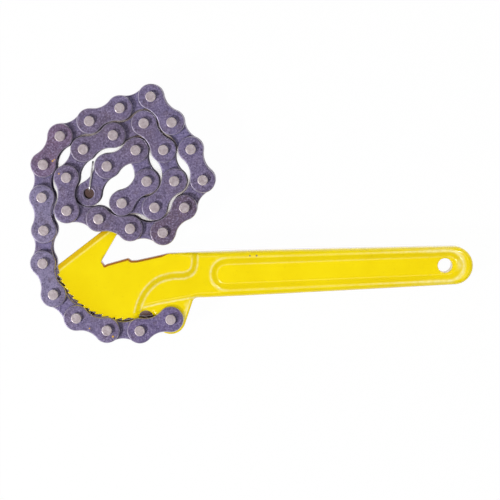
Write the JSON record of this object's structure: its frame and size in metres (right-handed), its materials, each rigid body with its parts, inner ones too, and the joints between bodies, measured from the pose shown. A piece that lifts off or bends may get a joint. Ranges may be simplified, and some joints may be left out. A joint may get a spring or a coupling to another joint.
{
  "type": "chain wrench",
  "caption": "Chain wrench with a yellow cast handle, toothed jaw and hook, and a bushed steel chain that pivots on the handle's lug and lies coiled.",
  "frame": {"origin": "centre of the hang hole in the middle plane of the handle and chain", "axes": "+X along the grip towards its round end, +Y from the lug side to the beak side, +Z along the chain pins"},
  "size_m": [0.1709, 0.0999, 0.0168],
  "materials": {
    "yellow_paint": "gloss enamel on a casting",
    "plate_steel": "dark oiled blued steel",
    "pin_steel": "bright riveted ends",
    "wire_steel": "bright drawn wire"
  },
  "bodies": {
    "handle": {"handle": "yellow_paint"},
    "link_01": {"outer_plates_01": "plate_steel", "pins_01": "pin_steel"},
    "link_02": {"inner_link_02": "plate_steel"},
    "link_03": {"outer_plates_03": "plate_steel", "pins_03": "pin_steel"},
    "link_04": {"inner_link_04": "plate_steel"},
    "link_05": {"outer_plates_05": "plate_steel", "pins_05": "pin_steel"},
    "link_06": {"inner_link_06": "plate_steel"},
    "link_07": {"outer_plates_07": "plate_steel", "pins_07": "pin_steel"},
    "link_08": {"inner_link_08": "plate_steel"},
    "link_09": {"outer_plates_09": "plate_steel", "pins_09": "pin_steel"},
    "link_10": {"inner_link_10": "plate_steel"},
    "link_11": {"outer_plates_11": "plate_steel", "pins_11": "pin_steel"},
    "link_12": {"inner_link_12": "plate_steel"},
    "link_13": {"outer_plates_13": "plate_steel", "pins_13": "pin_steel"},
    "link_14": {"inner_link_14": "plate_steel"},
    "link_15": {"outer_plates_15": "plate_steel", "pins_15": "pin_steel"},
    "link_16": {"inner_link_16": "plate_steel"},
    "link_17": {"outer_plates_17": "plate_steel", "pins_17": "pin_steel"},
    "link_18": {"inner_link_18": "plate_steel"},
    "link_19": {"outer_plates_19": "plate_steel", "pins_19": "pin_steel"},
    "link_20": {"inner_link_20": "plate_steel"},
    "link_21": {"outer_plates_21": "plate_steel", "pins_21": "pin_steel"},
    "link_22": {"inner_link_22": "plate_steel"},
    "link_23": {"outer_plates_23": "plate_steel", "pins_23": "pin_steel"},
    "link_24": {"inner_link_24": "plate_steel"},
    "link_25": {"outer_plates_25": "plate_steel", "pins_25": "pin_steel"},
    "link_26": {"inner_link_26": "plate_steel"},
    "link_27": {"outer_plates_27": "plate_steel", "pins_27": "pin_steel"},
    "link_28": {"inner_link_28": "plate_steel"},
    "link_29": {"outer_plates_29": "plate_steel", "pins_29": "pin_steel"},
    "link_30": {"inner_link_30": "plate_steel"},
    "link_31": {"outer_plates_31": "plate_steel", "pins_31": "pin_steel"},
    "link_32": {"inner_link_32": "plate_steel", "end_wire": "wire_steel"}
  },
  "joints": [
    {"name": "pivot_01", "type": "hinge", "parent": "handle", "child": "link_01", "pos_m": [-0.1067, -0.01665, 0], "axis": [0, 0, 1], "range_deg": [0, 24]},
    {"name": "pivot_02", "type": "hinge", "parent": "link_01", "child": "link_02", "pos_m": [-0.11878, -0.02057, 0], "axis": [0, 0, 1], "range_deg": [0, 21]},
    {"name": "pivot_03", "type": "hinge", "parent": "link_02", "child": "link_03", "pos_m": [-0.13146, -0.01991, 0], "axis": [0, 0, 1], "range_deg": [0, 21]},
    {"name": "pivot_04", "type": "hinge", "parent": "link_03", "child": "link_04", "pos_m": [-0.14306, -0.01474, 0], "axis": [0, 0, 1], "range_deg": [0, 24]},
    {"name": "pivot_05", "type": "hinge", "parent": "link_04", "child": "link_05", "pos_m": [-0.15156, -0.00531, 0], "axis": [0, 0, 1], "range_deg": [0, 26]},
    {"name": "pivot_06", "type": "hinge", "parent": "link_05", "child": "link_06", "pos_m": [-0.15506, 0.0069, 0], "axis": [0, 0, 1], "range_deg": [0, 20]},
    {"name": "pivot_07", "type": "hinge", "parent": "link_06", "child": "link_07", "pos_m": [-0.15418, 0.01957, 0], "axis": [0, 0, 1], "range_deg": [0, 6]},
    {"name": "pivot_08", "type": "hinge", "parent": "link_07", "child": "link_08", "pos_m": [-0.1544, 0.03227, 0], "axis": [0, 0, 1], "range_deg": [0, 6]},
    {"name": "pivot_09", "type": "hinge", "parent": "link_08", "child": "link_09", "pos_m": [-0.15329, 0.04492, 0], "axis": [0, 0, 1], "range_deg": [0, 28]},
    {"name": "pivot_10", "type": "hinge", "parent": "link_09", "child": "link_10", "pos_m": [-0.14637, 0.05557, 0], "axis": [0, 0, 1], "range_deg": [0, 32]},
    {"name": "pivot_11", "type": "hinge", "parent": "link_10", "child": "link_11", "pos_m": [-0.13486, 0.06094, 0], "axis": [0, 0, 1], "range_deg": [0, 6]},
    {"name": "pivot_12", "type": "hinge", "parent": "link_11", "child": "link_12", "pos_m": [-0.12301, 0.06549, 0], "axis": [0, 0, 1], "range_deg": [0, 6]},
    {"name": "pivot_13", "type": "hinge", "parent": "link_12", "child": "link_13", "pos_m": [-0.11093, 0.06942, 0], "axis": [0, 0, 1], "range_deg": [0, 79]},
    {"name": "pivot_14", "type": "hinge", "parent": "link_13", "child": "link_14", "pos_m": [-0.10329, 0.05927, 0], "axis": [0, 0, 1], "range_deg": [0, 8]},
    {"name": "pivot_15", "type": "hinge", "parent": "link_14", "child": "link_15", "pos_m": [-0.09637, 0.04862, 0], "axis": [0, 0, 1], "range_deg": [0, 8]},
    {"name": "pivot_16", "type": "hinge", "parent": "link_15", "child": "link_16", "pos_m": [-0.09223, 0.03661, 0], "axis": [0, 0, 1], "range_deg": [0, 29]},
    {"name": "pivot_17", "type": "hinge", "parent": "link_16", "child": "link_17", "pos_m": [-0.0997, 0.02634, 0], "axis": [0, 0, 1], "range_deg": [-21, 0]},
    {"name": "pivot_18", "type": "hinge", "parent": "link_17", "child": "link_18", "pos_m": [-0.10836, 0.01705, 0], "axis": [0, 0, 1], "range_deg": [0, 28]},
    {"name": "pivot_19", "type": "hinge", "parent": "link_18", "child": "link_19", "pos_m": [-0.1209, 0.01904, 0], "axis": [0, 0, 1], "range_deg": [0, 7]},
    {"name": "pivot_20", "type": "hinge", "parent": "link_19", "child": "link_20", "pos_m": [-0.13291, 0.02317, 0], "axis": [0, 0, 1], "range_deg": [-13, 0]},
    {"name": "pivot_21", "type": "hinge", "parent": "link_20", "child": "link_21", "pos_m": [-0.14506, 0.02688, 0], "axis": [0, 0, 1], "range_deg": [0, 30]},
    {"name": "pivot_22", "type": "hinge", "parent": "link_21", "child": "link_22", "pos_m": [-0.14461, 0.03958, 0], "axis": [0, 0, 1], "range_deg": [-4, 0]},
    {"name": "pivot_23", "type": "hinge", "parent": "link_22", "child": "link_23", "pos_m": [-0.1377, 0.05023, 0], "axis": [0, 0, 1], "range_deg": [0, 7]},
    {"name": "pivot_24", "type": "hinge", "parent": "link_23", "child": "link_24", "pos_m": [-0.12601, 0.05519, 0], "axis": [0, 0, 1], "range_deg": [-5, 0]},
    {"name": "pivot_25", "type": "hinge", "parent": "link_24", "child": "link_25", "pos_m": [-0.114, 0.05933, 0], "axis": [0, 0, 1], "range_deg": [0, 31]},
    {"name": "pivot_26", "type": "hinge", "parent": "link_25", "child": "link_26", "pos_m": [-0.1069, 0.0488, 0], "axis": [0, 0, 1], "range_deg": [-5, 0]},
    {"name": "pivot_27", "type": "hinge", "parent": "link_26", "child": "link_27", "pos_m": [-0.10318, 0.03665, 0], "axis": [0, 0, 1], "range_deg": [0, 10]},
    {"name": "pivot_28", "type": "hinge", "parent": "link_27", "child": "link_28", "pos_m": [-0.11118, 0.02678, 0], "axis": [0, 0, 1], "range_deg": [0, 10]},
    {"name": "pivot_29", "type": "hinge", "parent": "link_28", "child": "link_29", "pos_m": [-0.12368, 0.02899, 0], "axis": [0, 0, 1], "range_deg": [0, 18]},
    {"name": "pivot_30", "type": "hinge", "parent": "link_29", "child": "link_30", "pos_m": [-0.11381, 0.03698, 0], "axis": [0, 0, 1], "range_deg": [-42, 0]},
    {"name": "pivot_31", "type": "hinge", "parent": "link_30", "child": "link_31", "pos_m": [-0.11753, 0.04912, 0], "axis": [0, 0, 1], "range_deg": [-28, 0]},
    {"name": "pivot_32", "type": "hinge", "parent": "link_31", "child": "link_32", "pos_m": [-0.12884, 0.04336, 0], "axis": [0, 0, 1], "range_deg": [0, 5]}
  ],
  "couplings": [
    {"joint": "pivot_01", "follows": "pivot_13", "ratio": 0.3038},
    {"joint": "pivot_02", "follows": "pivot_13", "ratio": 0.26582},
    {"joint": "pivot_03", "follows": "pivot_13", "ratio": 0.26582},
    {"joint": "pivot_04", "follows": "pivot_13", "ratio": 0.3038},
    {"joint": "pivot_05", "follows": "pivot_13", "ratio": 0.32911},
    {"joint": "pivot_06", "follows": "pivot_13", "ratio": 0.25316},
    {"joint": "pivot_07", "follows": "pivot_13", "ratio": 0.075949},
    {"joint": "pivot_08", "follows": "pivot_13", "ratio": 0.075949},
    {"joint": "pivot_09", "follows": "pivot_13", "ratio": 0.35443},
    {"joint": "pivot_10", "follows": "pivot_13", "ratio": 0.40506},
    {"joint": "pivot_11", "follows": "pivot_13", "ratio": 0.075949},
    {"joint": "pivot_12", "follows": "pivot_13", "ratio": 0.075949},
    {"joint": "pivot_14", "follows": "pivot_13", "ratio": 0.10127},
    {"joint": "pivot_15", "follows": "pivot_13", "ratio": 0.10127},
    {"joint": "pivot_16", "follows": "pivot_13", "ratio": 0.36709},
    {"joint": "pivot_17", "follows": "pivot_13", "ratio": -0.26582},
    {"joint": "pivot_18", "follows": "pivot_13", "ratio": 0.35443},
    {"joint": "pivot_19", "follows": "pivot_13", "ratio": 0.088608},
    {"joint": "pivot_20", "follows": "pivot_13", "ratio": -0.16456},
    {"joint": "pivot_21", "follows": "pivot_13", "ratio": 0.37975},
    {"joint": "pivot_22", "follows": "pivot_13", "ratio": -0.050633},
    {"joint": "pivot_23", "follows": "pivot_13", "ratio": 0.088608},
    {"joint": "pivot_24", "follows": "pivot_13", "ratio": -0.063291},
    {"joint": "pivot_25", "follows": "pivot_13", "ratio": 0.39241},
    {"joint": "pivot_26", "follows": "pivot_13", "ratio": -0.063291},
    {"joint": "pivot_27", "follows": "pivot_13", "ratio": 0.12658},
    {"joint": "pivot_28", "follows": "pivot_13", "ratio": 0.12658},
    {"joint": "pivot_29", "follows": "pivot_13", "ratio": 0.22785},
    {"joint": "pivot_30", "follows": "pivot_13", "ratio": -0.53165},
    {"joint": "pivot_31", "follows": "pivot_13", "ratio": -0.35443},
    {"joint": "pivot_32", "follows": "pivot_13", "ratio": 0.063291}
  ]
}
